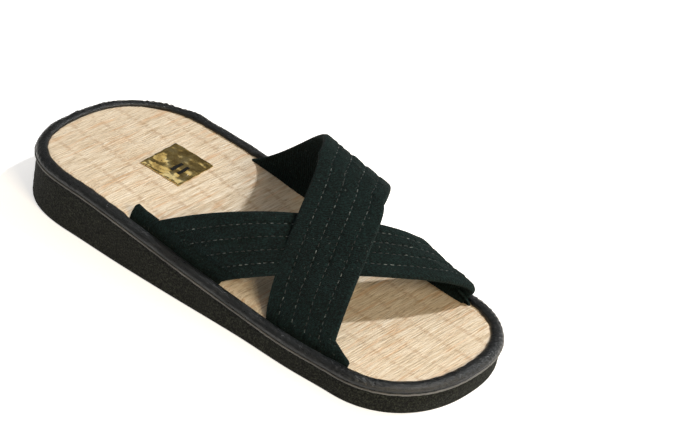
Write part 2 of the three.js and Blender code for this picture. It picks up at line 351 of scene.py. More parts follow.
def foam_material():
    n = Nodes("eva_foam")
    fine = n.noise(n.place, 1150, 3, 0.85)
    broad = n.noise(n.place, 60, 3)
    pores = n.add("ShaderNodeTexVoronoi", {"Vector": n.place, "Scale": 1100.0}).outputs["Distance"]
    n.set(Base_Color=n.mix(n.math("MULTIPLY", broad, 0.2), n.ramp(fine, FOAM_TONES), FOAM_DUST))
    n.set(Roughness=0.85, Specular_IOR_Level=0.2, Normal=n.bump(n.math("ADD", pores, fine), 0.8, 0.0007))
    return n.material


def vinyl_material(name, tones, shine):
    n = Nodes(name)
    broad = n.noise(n.place, 70, 4)
    fine = n.noise(n.place, 700, 5, 0.65)
    # Streaks along the binding: they roughen and ridge the vinyl, and lighten its colour as painted
    # streaky highlights.
    vinyl_streaks = n.noise(n.scaled((60, 420, 420)), 3.0, 6, 0.7)
    painted_streak_share = n.ramp(vinyl_streaks, [(0.56, 0.0), (0.72, 1.0)])
    n.set(Base_Color=n.mix(n.math("MULTIPLY", painted_streak_share, 0.35), n.ramp(broad, tones), VINYL_STREAK_HIGHLIGHT))
    n.set(Roughness=n.ramp(n.mix(0.5, vinyl_streaks, fine), [(0.3, shine), (0.7, shine + 0.2)]))
    n.set(Specular_IOR_Level=0.5, Normal=n.bump(fine, 0.4, 0.0005, n.bump(vinyl_streaks, 0.5, 0.0009)))
    return n.material


def rush_material():
    """Split rush: strands across the shoe, each with its own tone, and darker knots and fibres."""
    n = Nodes("rush_mat")
    turn = (0, 0, RUSH_TURN)
    half_pitch = WARP_PITCH * MM / 2
    split = n.add("ShaderNodeSeparateXYZ", {"Vector": n.scaled((1, 1, 1), turn)})
    wander = n.math("SUBTRACT", n.noise(n.scaled((25, 60, 1)), 3.0, 2), 0.5)
    across = n.math("ADD", split.outputs["X"], n.math("MULTIPLY", wander, 0.0016))
    strand = n.math("FLOOR", n.math("DIVIDE", across, RUSH_PITCH * MM))
    one = n.add("ShaderNodeTexWhiteNoise", {"W": strand}, noise_dimensions="1D").outputs["Value"]
    fibre = n.noise(n.scaled((1400, 70, 900), turn), 1.0, 4, 0.75)
    patch = n.noise(n.place, 34, 3)
    colour = n.mix(0.66, n.ramp(one, STRAND_TONES), n.ramp(fibre, FIBRE_TONES))

    streak = n.noise(n.scaled((520, 42, 400), turn), 1.0, 3, 0.6)
    rusty = n.ramp(streak, [(0.54, 0.0), (0.68, 1.0)])
    colour = n.mix(n.math("MULTIPLY", rusty, 0.6), colour, RUSTY_STREAK)
    knots = n.noise(n.scaled((1300, 170, 900), turn), 1.0, 2)
    dark = n.ramp(knots, [(0.60, 0.0), (0.70, 1.0)])
    colour = n.mix(n.math("MULTIPLY", dark, 0.42), colour, DARK_FIBRE)

    along_mat = n.math("ADD", split.outputs["Y"], n.math("MULTIPLY", patch, 0.004))
    warp = n.math("DIVIDE", n.math("PINGPONG", along_mat, half_pitch), half_pitch)
    line = n.ramp(warp, [(0.0, 1.0), (0.10, 0.9), (0.24, 0.0)])
    ticks = n.ramp(n.noise(n.scaled((900, 260, 700), turn), 1.0, 1), [(0.42, 0.0), (0.54, 1.0)])
    tick_share = n.math("MULTIPLY", n.math("MULTIPLY", line, ticks), 0.44)
    colour = n.mix(tick_share, colour, WARP_TICK)

    colour = n.mix(n.ramp(patch, [(0.35, 0.0), (0.75, 0.22)]), colour, PALE_PATCH)
    n.set(Base_Color=n.mix(1.0, colour, RUSH_TINT, "MULTIPLY"))
    n.set(Roughness=n.ramp(fibre, [(0.3, 0.62), (0.7, 0.45)]))
    n.set(Specular_IOR_Level=0.35, Normal=n.bump(fibre, 0.9, 0.0006))
    return n.material


def cloth_material():
    """Napped cotton twill, very dark, with lint."""
    n = Nodes("strap_twill")
    wave = {"Vector": n.scaled((1, 1, 1), (0, 0, 0.9)), "Scale": 420.0, "Distortion": 2.5}
    wave.update({"Detail": 2.0, "Detail Scale": 2.0})
    twill = n.add("ShaderNodeTexWave", wave).outputs["Fac"]
    nap = n.noise(n.place, 1150, 3, 0.88)
    soft = n.noise(n.place, 90, 4, 0.6)
    colour = n.mix(n.ramp(soft, [(0.4, 0.0), (0.75, 0.25)]), n.ramp(nap, CLOTH_TONES), CLOTH_HIGH)
    lint = n.ramp(n.noise(n.scaled((1, 0.6, 1)), 900, 1, 0.4), [(0.72, 0.0), (0.77, 1.0)])
    n.set(Base_Color=n.mix(n.math("MULTIPLY", lint, 0.6), colour, CLOTH_LINT))
    weave = n.math("ADD", n.math("MULTIPLY", twill, 0.4), nap)
    n.set(Normal=n.bump(weave, 0.85, 0.0009, n.bump(soft, 0.35, 0.002)))
    n.set(Roughness=0.92, Specular_IOR_Level=0.15)
    n.set(Sheen_Weight=0.03, Sheen_Roughness=0.6, Sheen_Tint=(0.40, 0.78, 0.82, 1))
    return n.material


def thread_material():
    n = Nodes("stitch_thread")
    # Brightness in patches along the stitches: the thread's grey with painted glints.
    n.set(Base_Color=n.ramp(n.noise(n.place, 230, 3, 0.7), THREAD_AND_GLINT_TONES))
    n.set(Roughness=0.6, Normal=n.bump(n.noise(n.place, 3200, 2), 0.5, 0.0002))
    return n.material


def foil_material():
    n = Nodes("size_foil")
    fine = n.noise(n.place, 900, 4, 0.6)
    # Base colour in patches, olive to pale gold: partly painted reflection.
    n.set(Base_Color=n.ramp(n.noise(n.place, 150, 4, 0.6), FOIL_GOLD_AND_REFLECTION_TONES), Metallic=1.0)
    n.set(Roughness=n.ramp(fine, [(0.3, 0.10), (0.7, 0.22)]), Normal=n.bump(fine, 0.2, 0.0003))
    return n.material


def ink_material():
    n = Nodes("size_ink")
    grain = n.noise(n.place, 1400, 3)
    n.set(Base_Color=n.ramp(grain, [(0.35, 0.002), (0.7, 0.012)]))
    n.set(Roughness=0.7, Specular_IOR_Level=0.15, Normal=n.bump(grain, 0.3, 0.0001))
    return n.material


FOAM = foam_material()
VINYL = vinyl_material("binding_vinyl", VINYL_TONES, 0.22)
# The lighter vinyl for the lip, which paints a highlight line along the binding's foot.
LIP_HIGHLIGHT_VINYL = vinyl_material("binding_lip_highlight", LIP_HIGHLIGHT_TONES, 0.3)
RUSH = rush_material()
CLOTH = cloth_material()
THREAD = thread_material()
FOIL = foil_material()
INK = ink_material()

# ---- the foam wedge and its tread ------------------------------------------------------------
TREAD_PITCH = 2.4
TREAD_BORDER = 4.4                 # the plain rim round the tread
TREAD_DEPTH = 0.75
DIAMOND_BASE, DIAMOND_CREST = 0.94, 0.42   # half diagonals, as shares of half the pitch
DIAMOND_TIP = 0.04                 # the diamonds' crests above the floor

# The sole's lower edge, with the saw marks' shares of both distances.
EDGE_RINGS = [
    # outward from the outline, above the floor, marks outward, marks above
    (-TREAD_BORDER, TREAD_DEPTH, 0, 0),
    (-TREAD_BORDER + 0.3, 0.2, 0, 0),
    (-TREAD_BORDER + 0.7, 0.0, 0, 0),
    (-1.5, 0.0, 0, 0),
    (-0.8, 0.12, 0, 0),
    (-0.3, 0.45, 0, 0.06),
    (-0.05, 1.3, 0.3, 0),
]
WALL_ROWS = 14
WALL_FIRST, WALL_LAST = 1.3, 0.7   # above the floor, and below the foam's upper face
WALL_BELLY = 0.18
WALL_INSET = 0.1
SAW_MARKS = 0.14
SAW_SHARE = 0.3                    # the marks' share at the wall's foot, fading upward
SAW_LINE = (4, 9, 40, 130)         # a ripple's seed, waves, slowest and fastest rate
FOAM_GRAIN = 0.10
GRAIN_SEED, GRAIN_LINE = 20, (5, 60, 220)
TOP_RINGS = [(-0.35, 0.2), (-1.1, 0.0)]    # outward, below the foam's upper face


def wedge_rings():
    marks = SAW_MARKS * ripple(TURN, *SAW_LINE)
    rings = []
    for out, above, marks_out, marks_up in EDGE_RINGS:
        rings.append((offset(out + marks_out * marks), above + marks_up * marks))
    top = foam_top(OUTLINE[:, 0])
    for k in range(1, WALL_ROWS + 1):
        share = k / WALL_ROWS
        z = WALL_FIRST + (top - WALL_LAST - WALL_FIRST) * share
        belly = WALL_BELLY * math.sin(math.pi * share)
        grain = FOAM_GRAIN * ripple(TURN, GRAIN_SEED + k, *GRAIN_LINE)
        rings.append((offset(belly + SAW_SHARE * marks * (1 - share) + grain - WALL_INSET), z))
    return rings + [(offset(out), top - below) for out, below in TOP_RINGS]


def tread_diamonds():
    """Centres of the tread's diamonds, in staggered rows inside the plain rim."""
    half = TREAD_PITCH / 2
    centres = []
    for i, x in enumerate(np.arange(-HALF_LENGTH, HALF_LENGTH, half)):
        low = edge_y(x, -1, -TREAD_BORDER - half)
        high = edge_y(x, 1, -TREAD_BORDER - half)
        if abs(x) > HALF_LENGTH - TREAD_BORDER - TREAD_PITCH or high - low < 2 * TREAD_PITCH:
            continue
        stagger = (i % 2) * half
        first = math.ceil((low - stagger) / TREAD_PITCH)
        last = math.floor((high - stagger) / TREAD_PITCH)
        centres += [(x, j * TREAD_PITCH + stagger) for j in range(first, last + 1)]
    return centres


def build_wedge():
    rings = wedge_rings()
    points = [rings_to_points(rings)]
    faces = cap_across(0) + bridge_rings(len(rings), RING) + cap_across((len(rings) - 1) * RING)
    at = len(points[0])
    base, crest = DIAMOND_BASE * TREAD_PITCH / 2, DIAMOND_CREST * TREAD_PITCH / 2
    corners = [(1, 0), (0, 1), (-1, 0), (0, -1)]
    for x, y in tread_diamonds():
        foot = [(x + dx * base, y + dy * base, TREAD_DEPTH) for dx, dy in corners]
        tip = [(x + dx * crest, y + dy * crest, DIAMOND_TIP) for dx, dy in corners]
        points.append(np.array(foot + tip))
        for k in range(4):
            m = (k + 1) % 4
            faces.append((at + m, at + k, at + 4 + k, at + 4 + m))
        faces.append((at + 7, at + 6, at + 5, at + 4))
        faces.append((at, at + 1, at + 2, at + 3))
        at += 8
    obj = make_object("sole_wedge", np.concatenate(points), faces, FOAM, 35)
    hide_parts("outsole")
    return obj


# ---- the binding ------------------------------------------------------------------------------
# Section from the inner edge on the mat, over the roll, to the lip on the foam, and back under:
# outward from the outline, and above the foam.
BINDING_SECTION = [
    (-5.0, 2.5), (-5.2, 3.3), (-5.0, 3.9), (-4.45, 4.3), (-3.6, 4.54), (-2.7, 4.64), (-1.8, 4.56),
    (-0.95, 4.32), (-0.2, 3.92), (0.42, 3.38), (0.82, 2.72), (0.96, 2.1), (0.88, 1.62), (0.72, 1.32),
    (0.90, 1.20), (1.22, 1.12), (1.44, 0.88), (1.36, 0.56), (1.02, 0.36), (0.2, 0.3),
    (-1.6, 0.3), (-1.6, 3.3),
]
EDGE_LAST = 3                      # rows up to here make the inner edge
ROLL_FIRST, ROLL_LAST = 2, 12      # rows that make the wrinkled roll
LIP_FIRST, LIP_LAST = 14, 18       # rows that make the lip
WRINKLE = 0.20
WRINKLE_OUT, WRINKLE_UP, WRINKLE_SLANT = 0.6, 0.8, 0.03
WRINKLE_LINE, SWELL_LINE = (31, 10, 60, 240), (33, 6, 8, 40)   # ripples, as for the saw marks
EDGE_WOBBLE, EDGE_LINE = 0.15, (35, 8, 20, 90)
LIP_WOBBLE, LIP_LINE = 0.07, (37, 9, 50, 200)
DRAWN_BACK = 0.9                   # the inner edge stands off beside the straps' feet
STRAIGHT_SHARE = 0.35              # wrinkles along the straight sides, as a share of the ends'
STRAIGHT_END, BEND_FULL = 60, 105  # distances from the middle where the wrinkles grow
FOOT_SPANS = {"right": [(-46, 80)], "left": [(-45, 12), (61, 93)]}
FOOT_FADE = 3


def foot_share(x, side):
    """1 where straps stand against the binding, 0 elsewhere."""
    total = 0
    for first, last in FOOT_SPANS[side]:
        rise = smooth(x, first - FOOT_FADE, first + FOOT_FADE)
        total = total + rise * (1 - smooth(x, last - FOOT_FADE, last + FOOT_FADE))
    return total


def build_binding():
    x, y = OUTLINE.T
    beside = np.where(y > 0, foot_share(x, "left"), foot_share(x, "right"))
    growth = np.clip((np.abs(x) - STRAIGHT_END) / (BEND_FULL - STRAIGHT_END), 0, 1)
    ends = STRAIGHT_SHARE + (1 - STRAIGHT_SHARE) * growth
    rings = []
    for k, (out, above) in enumerate(BINDING_SECTION):
        crease = np.zeros(RING)
        if ROLL_FIRST <= k <= ROLL_LAST:
            body = WRINKLE * math.sin(math.pi * (k - ROLL_FIRST + 1) / ROLL_LAST)
            crease = body * ripple(TURN + WRINKLE_SLANT * k, *WRINKLE_LINE) * ends
            crease = crease + body * ripple(TURN, *SWELL_LINE)
        shift = WRINKLE_OUT * crease
        if k <= EDGE_LAST:
            shift = shift + EDGE_WOBBLE * ripple(TURN, *EDGE_LINE) + DRAWN_BACK * beside
        if LIP_FIRST <= k <= LIP_LAST:
            shift = shift + LIP_WOBBLE * ripple(TURN, *LIP_LINE)
        rings.append((offset(out + shift), foam_top(x) + above + WRINKLE_UP * crease))
    faces = bridge_rings(len(rings), RING)
    last = (len(rings) - 1) * RING
    for i in range(RING):
        j = (i + 1) % RING
        faces.append((last + i, last + j, j, i))
    obj = make_object("edge_trim", rings_to_points(rings), faces, VINYL, 60)
    # The lip's faces take the lighter vinyl: a painted highlight line along the binding's foot.
    obj.data.materials.append(LIP_HIGHLIGHT_VINYL)
    for face in range(LIP_FIRST * RING, LIP_LAST * RING):
        obj.data.polygons[face].material_index = 1
    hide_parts("edge_binding")
    return obj


# ---- the rush mat -----------------------------------------------------------------------------
MAT_COLUMNS = 880
MAT_ROWS = 46
MAT_EDGE = -1.6                    # outward from the outline
MAT_INSET, MAT_PROUD = 0.02, 0.02
MAT_DIP = dict(depth=1.0, place=3.3, width=0.9)        # pressed down beside the binding
MAT_FOOT_DIP = dict(depth=1.3, place=3.9, width=1.7)   # and more beside the straps' feet
STRAND_RISE = 0.20                 # a strand's roundness
STRAND_SPREAD = 0.05               # how far single strands stand up or down
STRAND_SEED = 8
# Each wander is a height and a wave field: seed, waves and lump size.
STRAND_WANDER, STRAND_FIELD = 0.35, (5, 6, 22)
STRAND_SHRINK = 6                  # lumps are this much longer across the strands
WARP_WANDER, WARP_FIELD = 0.5, (6, 4, 30)
PINCH_WIDTH = 1.6                  # how far the lengthwise threads draw the strands in
PINCH_DEPTH = 0.04
PINCH_SHARE = 0.3
MAT_WAVES, MAT_FIELD = 0.07, (7, 5, 18)
MAT_STRETCH = 0.4
STRAND_TABLE = 400                 # strands with their own height
END_STRETCH = 1.4                  # distances from the ends count as this much longer


def mat_dip(inward, depth, place, width):
    return depth * np.exp(-((inward - place) / width) ** 2)


def weave_height(x, y):
    """The mat's face over its plain plane."""
    c, s = math.cos(RUSH_TURN), math.sin(RUSH_TURN)
    u, v = x * c - y * s, x * s + y * c
    phase = (u + STRAND_WANDER * wave_field(u / STRAND_SHRINK, v, *STRAND_FIELD)) / RUSH_PITCH
    heights = np.random.default_rng(STRAND_SEED).uniform(-1, 1, STRAND_TABLE)
    strand = np.floor(phase).astype(int) % STRAND_TABLE
    roll = np.sqrt(np.clip(1 - (2 * (phase % 1) - 1) ** 2, 0, 1))
    drawn = v + WARP_WANDER * wave_field(u, v, *WARP_FIELD)
    warp = np.abs((drawn / WARP_PITCH) % 1 - 0.5) * 2
    pinch = np.exp(-(((1 - warp) * WARP_PITCH / 2) / PINCH_WIDTH) ** 2)
    z = STRAND_RISE * (roll - 1) * (1 + PINCH_SHARE * pinch)
    z = z + STRAND_SPREAD * heights[strand] - PINCH_DEPTH * pinch
    return z + MAT_WAVES * wave_field(u * MAT_STRETCH, v, *MAT_FIELD)


def build_mat():
    low_x = offset(MAT_EDGE)[0, 0] + MAT_INSET
    high_x = offset(MAT_EDGE)[SIDE_POINTS, 0] - MAT_INSET
    xs = np.linspace(low_x, high_x, MAT_COLUMNS)
    right, left = edge_y(xs, -1, MAT_EDGE), edge_y(xs, 1, MAT_EDGE)
    t = np.linspace(0, 1, MAT_ROWS + 1)
    x = np.repeat(xs[:, None], MAT_ROWS + 1, 1)
    y = right[:, None] * (1 - t) + left[:, None] * t
    inward = np.minimum(t, 1 - t)[None, :] * (left - right)[:, None]
    from_ends = np.minimum(xs - low_x, high_x - xs)[:, None]
    inward = np.minimum(inward, END_STRETCH * from_ends)
    beside = np.where(t[None, :] > 0.5, foot_share(x, "left"), foot_share(x, "right"))
    z = foam_top(x) + MAT_TOP + MAT_PROUD + weave_height(x, y)
    z = z - mat_dip(inward, **MAT_DIP) - beside * mat_dip(inward, **MAT_FOOT_DIP)
    upper = np.stack([x, y, z], -1).reshape(-1, 3)
    sides = np.stack([right, left], 1).reshape(-1)
    under = np.column_stack([np.repeat(xs, 2), sides, np.repeat(foam_top(xs) + SLIT, 2)])
    rows = MAT_ROWS + 1
    faces = []
    for i in range(MAT_COLUMNS - 1):
        a, b = i * rows, (i + 1) * rows
        for k in range(MAT_ROWS):
            faces.append((a + k, b + k, b + k + 1, a + k + 1))
        base = len(upper) + 2 * i
        faces.append((base, base + 1, base + 3, base + 2))
        faces.append((base, base + 2, b, a))
        faces.append((base + 3, base + 1, a + MAT_ROWS, b + MAT_ROWS))
    for i in (0, MAT_COLUMNS - 1):
        line = [i * rows + k for k in range(rows)]
        faces.append(line + [len(upper) + 2 * i + 1, len(upper) + 2 * i])
    obj = make_object("rush_mat", np.concatenate([upper, under]), faces, RUSH)
    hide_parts("insole")
    return obj


# ---- straps --------------------------------------------------------------------------------------
STRAP_ALONG, STRAP_ACROSS, STRAP_UNDER = 190, 60, 22   # points along, across, and across beneath
EDGE_ROUND = 1.35                  # radius across the strap's edges
EDGE_POINTS = 7
STITCH_ROWS = [0.2, 0.4, 0.6, 0.8]
PILLOW, OUTER_PILLOW = 0.34, 0.8   # the pads' height, and the outer pads' share of it
VALLEY, VALLEY_WIDTH = 0.42, 0.9
PUCKER, PUCKER_WIDTH = 0.16, 3.2
PUCKER_STRETCH = (1.5, 0.35)       # along, across
PUCKER_FIELD = (8, 4.6)            # waves, lump size
DRIFTS = [(0.22, 6, 26), (0.10, 8, 9)]     # height, waves, lump size of the cloth's unevenness
EDGE_FADE = 1.6                    # quilting dies out over this distance from the edges
CREASE_BEND = 0.02
LINING_SAG, LINING_INSET = 0.10, 0.15
LINING_FIELD = (95, 6, 12)
TANGENT_STEP = 0.02                # share of the arch used to find a strap's run
FOOT_SHARE = 0.08                  # share of the arch over which a strap turns upright
MEASURE_POINTS = 200               # samples along the arch for a strap's length and width


def bezier(values, s):
    row = [np.full_like(s, v, dtype=float) for v in values]
    while len(row) > 1:
        row = [a * (1 - s) + b * s for a, b in zip(row, row[1:])]
    return row[0]


def strap_point(strap, s, w):
    """The strap's outer face: s runs right to left over the arch, w from heel to toe."""
    s, w = np.broadcast_arrays(np.asarray(s, float), np.asarray(w, float))
    x = bezier(strap["heel"], s) * (1 - w) + bezier(strap["toe"], s) * w
    angle = (s - 0.5) * math.pi
    sine = np.sin(angle)
    power = np.where(sine < 0, strap["right"], strap["left"])
    crown = np.maximum(np.cos(angle), 0) ** strap["crown"]
    reach = np.where(sine < 0, -edge_y(x, -1, -STRAP_INSET), edge_y(x, 1, -STRAP_INSET))
    y = reach * np.sign(sine) * np.abs(sine) ** power + strap["lean"] * crown
    rise = strap["rise"] + strap["slope"] * (x - ARCH_REFERENCE) / 100
    return np.stack([x, y, foam_top(x) + MAT_TOP + rise * crown], -1)


def strap_outward(strap, s, w):
    """Square to the strap's face, and level at its feet."""
    s, w = np.broadcast_arrays(np.asarray(s, float), np.asarray(w, float))
    after = strap_point(strap, np.minimum(s + TANGENT_STEP, 1), w)
    run = after - strap_point(strap, np.maximum(s - TANGENT_STEP, 0), w)
    across = strap_point(strap, s, np.ones_like(w)) - strap_point(strap, s, np.zeros_like(w))
    square = np.cross(across, run)
    square /= np.linalg.norm(square, axis=-1, keepdims=True)
    level = np.zeros_like(square)
    level[..., 1] = np.where(s < 0.5, -1, 1)
    share = (1 - smooth(np.minimum(s, 1 - s), 0, FOOT_SHARE))[..., None]
    outward = square * (1 - share) + level * share
    return outward / np.linalg.norm(outward, axis=-1, keepdims=True)


# Creases, listed one by one: place along and across as shares, heading in degrees from the strap's
# run, half length, half width and depth in mm (below zero is a raised fold).
CREASES = {
    "under": [
        # along, across, heading, half length, half width, depth
        (0.045, 0.10, 58, 9, 1.6, 0.7),
        (0.060, 0.30, 40, 8, 1.8, 0.5),
        (0.10, 0.72, -38, 12, 2.0, 0.55),
        (0.17, 0.50, 12, 14, 2.4, 0.35),
        (0.25, 0.10, 8, 13, 2.0, -0.40),
        (0.80, 0.60, 20, 14, 2.5, 0.45),
        (0.90, 0.28, -45, 9, 1.8, 0.5),
        (0.70, 0.85, 6, 14, 2.2, -0.45),
        (0.032, 0.64, 90, 15, 1.9, 1.5),
    ],
    "over": [
        (0.06, 0.80, -55, 10, 1.8, 0.6),
        (0.12, 0.25, 35, 12, 2.2, 0.45),
        (0.30, 0.60, 10, 16, 3.0, 0.35),
        (0.62, 0.35, -24, 12, 2.6, 0.4),
        (0.88, 0.60, 45, 9, 1.8, 0.5),
        (0.44, 0.88, 4, 15, 2.4, -0.35),
    ],
}
PUCKER_SEED = {"under": 60, "over": 80}


def creases(kind, a, b, length, width):
    """Depth of the listed creases at a mm along and b mm across the strap."""
    fold = np.zeros_like(a)
    for at_s, at_w, heading, half, wide, depth in CREASES[kind]:
        turn = math.radians(heading)
        da, db = a - at_s * length, b - at_w * width
        run = da * math.cos(turn) + db * math.sin(turn)
        off = -da * math.sin(turn) + db * math.cos(turn) + CREASE_BEND * run**2
        fold = fold + depth * np.exp(-((run / half) ** 2) - (off / wide) ** 2)
    return fold


def quilting(kind, s, w, length, width):
    """Height of the cloth over the strap's plain face: pads between stitch rows, and puckers."""
    rows = np.array([0.0] + STITCH_ROWS + [1.0])
    i = np.clip(np.searchsorted(rows, w, side="right") - 1, 0, len(rows) - 2)
    share = (w - rows[i]) / (rows[i + 1] - rows[i])
    pad = PILLOW * np.sqrt(np.clip(1 - (2 * share - 1) ** 2, 0, 1))
    pad = pad * np.where((i == 0) | (i == len(rows) - 2), OUTER_PILLOW, 1.0)
    near = np.min(np.abs(w[..., None] - np.array(STITCH_ROWS)), -1) * width
    valley = VALLEY * np.exp(-(near / VALLEY_WIDTH) ** 2)
    a, b = s * length, w * width
    seed = PUCKER_SEED[kind]
    tuck = PUCKER * np.exp(-(near / PUCKER_WIDTH) ** 2)
    pucker = tuck * wave_field(a * PUCKER_STRETCH[0], b * PUCKER_STRETCH[1], seed, *PUCKER_FIELD)
    drift = 0
    for step, (high, *waves) in enumerate(DRIFTS, 1):
        drift = drift + high * wave_field(a, b, seed + step, *waves)
    total = pad - valley + pucker + drift - creases(kind, a, b, length, width)
    return total * smooth(np.minimum(w, 1 - w) * width, 0, EDGE_FADE)


def strap_sizes(strap):
    s = np.linspace(0, 1, MEASURE_POINTS)
    middle = strap_point(strap, s, 0.5)
    length = np.linalg.norm(np.diff(middle, axis=0), axis=1).sum()
    width = np.linalg.norm(strap_point(strap, s, 1.0) - strap_point(strap, s, 0.0), axis=1).mean()
    return length, width


# Tabs of the straps' ends that stand against the binding. Each has the corner it grows from
# (foot 0 is the right one, edge 0 the heel one) and its outline as (along, height) in mm.
WINGS = {
    "under": [
        dict(foot=0, edge=0, outline=[
            (7.0, 7.2), (4.5, 7.2), (1.5, 7.1), (-1.5, 7.2), (-4.5, 7.4), (-6.4, 7.6), (-7.4, 6.4),
            (-7.9, 4.0),
        ]),
        dict(foot=1, edge=1, outline=[(-3.0, 7.0), (-1.0, 6.0), (1.0, 4.6), (2.4, 3.6), (3.2, 2.2)]),
    ],
    "over": [
        dict(foot=0, edge=1, outline=[
            (-3.0, 8.6), (-0.5, 7.4), (2.0, 6.0), (4.5, 4.9), (7.0, 3.8), (8.8, 2.9), (9.8, 1.9),
        ]),
    ],
}
WING_POINTS = 7                    # up each tab
WING_THICKNESS = 1.1
WING_SUNK = 0.7                    # the tabs' lower edge below the mat's face
WING_LEAN, WING_WAVE, WING_WAVE_RATE = 0.42, 0.12, 0.9
WING_BEVEL = 0.25


def wing(strap, foot, edge, outline):
    sign = -1 if foot == 0 else 1
    corner = strap_point(strap, float(foot), float(edge))
    rows = []
    for run, height in outline:
        x = corner[0] + run
        y = edge_y(x, sign, -STRAP_INSET)
        column = []
        for k in range(WING_POINTS):
            up = height * k / (WING_POINTS - 1)
            lean = WING_LEAN * up * up / max(height, 1)
            lean += WING_WAVE * math.sin(run * WING_WAVE_RATE + k)
            column.append((x, y - sign * lean, foam_top(x) + MAT_TOP - WING_SUNK + up))
        rows.append(column)
    outer = np.array(rows)
    inner = outer.copy()
    inner[..., 1] -= sign * WING_THICKNESS
    inner[:, -1, 2] -= WING_BEVEL
    points = np.concatenate([outer.reshape(-1, 3), inner.reshape(-1, 3)])
    return points, sheet_faces(*outer.shape[:2])


def strap_edge(strap, s, edge, toe_side):
    """The rounded edge of a strap, in columns from its upper face to its lining, or back."""
    angles = np.linspace(0, math.pi, EDGE_POINTS + 2)[1:-1]
    columns = []
    for angle in angles if toe_side else angles[::-1]:
        inset = edge - edge * math.sin(angle)
        w = np.full_like(s, 1 - inset if toe_side else inset)
        depth = STRAP_THICKNESS / 2 * (1 - math.cos(angle))
        columns.append(strap_point(strap, s, w) - strap_outward(strap, s, w) * depth)
    return np.stack(columns, 1)


def build_strap(kind):
    strap = STRAPS[kind]
    length, width = strap_sizes(strap)
    s = np.linspace(0, 1, STRAP_ALONG)
    edge = EDGE_ROUND / width
    grid_s, grid_w = np.meshgrid(s, np.linspace(edge, 1 - edge, STRAP_ACROSS), indexing="ij")
    lift = quilting(kind, grid_s, grid_w, length, width)[..., None]
    outer = strap_point(strap, grid_s, grid_w) + strap_outward(strap, grid_s, grid_w) * lift
    grid_s, grid_w = np.meshgrid(s, np.linspace(1 - edge, edge, STRAP_UNDER), indexing="ij")
    sag = LINING_SAG * wave_field(grid_s * length, grid_w * width, *LINING_FIELD)[..., None]
    depth = STRAP_THICKNESS - LINING_INSET + sag
    lining = strap_point(strap, grid_s, grid_w) - strap_outward(strap, grid_s, grid_w) * depth
    toe_edge, heel_edge = strap_edge(strap, s, edge, True), strap_edge(strap, s, edge, False)
    sections = np.concatenate([outer, toe_edge, lining, heel_edge], 1)
    feet = sections[[0, -1]]
    feet[..., 2] = foam_top(feet[..., 0]) + SLIT
    sections = np.concatenate([feet[:1], sections, feet[1:]])
    count = sections.shape[1]
    faces = bridge_rings(len(sections), count)
    last = (len(sections) - 1) * count
    faces += [list(range(count)), list(range(last, last + count))]
    bodies = [sections.reshape(-1, 3)]
    at = len(bodies[0])
    for tab in WINGS[kind]:
        points, sides = wing(strap, **tab)
        bodies.append(points)
        faces += (sides + at).tolist()
        at += len(points)
    obj = make_object(f"strap_{kind}", np.concatenate(bodies), faces, CLOTH, 70)
    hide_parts("upper_straps")
    return obj


# ---- stitches ---------------------------------------------------------------------------------
STITCH_PITCH = 3.3
PITCH_SPREAD = (0.92, 1.08)
STITCH_LENGTH = 2.5
STITCH_RADIUS = 0.23
STITCH_LIMITS = (0.035, 0.965)     # the rows' ends, as shares of the strap's arch
STITCH_ARCH = np.array([-0.25, 0.10, 0.17, 0.17, 0.10, -0.25])
STITCH_TAPER = np.array([0.6, 0.95, 1, 1, 0.95, 0.6])
ARCH_SPREAD = (-0.04, 0.05)
SKEW_SPREAD = (-0.10, 0.10)
STITCH_SIDES = 6
STITCH_SEED = 12
ROW_POINTS = 900                   # samples along a row of stitches


def stitch_points(spine, up, rng):
    """Rings of one stitch round its spine, which sinks into the cloth at both ends."""
    up = up / np.linalg.norm(up, axis=1)[:, None]
    forward = np.gradient(spine, axis=0)
    forward /= np.linalg.norm(forward, axis=1)[:, None]
    side = np.cross(up, forward)
    arch = STITCH_ARCH + rng.uniform(*ARCH_SPREAD)
    fat = STITCH_TAPER * STITCH_RADIUS
    skew = rng.uniform(*SKEW_SPREAD) * np.linspace(-1, 1, len(spine))
    turn = math.tau * np.arange(STITCH_SIDES) / STITCH_SIDES
    sideways = np.cos(turn)[None] * fat[:, None] + skew[:, None]
    upward = np.sin(turn)[None] * fat[:, None] + arch[:, None]
    rings = spine[:, None] + side[:, None] * sideways[..., None] + up[:, None] * upward[..., None]
    return rings.reshape(-1, 3)


def build_stitches():
    bodies = []
    rng = np.random.default_rng(STITCH_SEED)
    stations = len(STITCH_ARCH)
    for kind, strap in STRAPS.items():
        length, width = strap_sizes(strap)
        for row in STITCH_ROWS:
            s = np.linspace(*STITCH_LIMITS, ROW_POINTS)
            w = np.full_like(s, row)
            out = strap_outward(strap, s, w)
            line = strap_point(strap, s, w) + out * quilting(kind, s, w, length, width)[:, None]
            steps = np.linalg.norm(np.diff(line, axis=0), axis=1)
            run = np.concatenate([[0], np.cumsum(steps)])
            start = rng.uniform(0, 1)
            while start + STITCH_LENGTH < run[-1]:
                at = start + STITCH_LENGTH * np.linspace(0, 1, stations)
                spine = np.stack([np.interp(at, run, line[:, k]) for k in range(3)], 1)
                up = np.stack([np.interp(at, run, out[:, k]) for k in range(3)], 1)
                bodies.append(stitch_points(spine, up, rng))
                start += STITCH_PITCH * rng.uniform(*PITCH_SPREAD)
    tube = bridge_rings(stations, STITCH_SIDES)
    size = stations * STITCH_SIDES
    tube += [list(range(STITCH_SIDES)), list(range(size - STITCH_SIDES, size))]
    faces = [[v + k * size for v in face] for k in range(len(bodies)) for face in tube]
    return make_object("strap_stitches", np.concatenate(bodies), faces, THREAD)


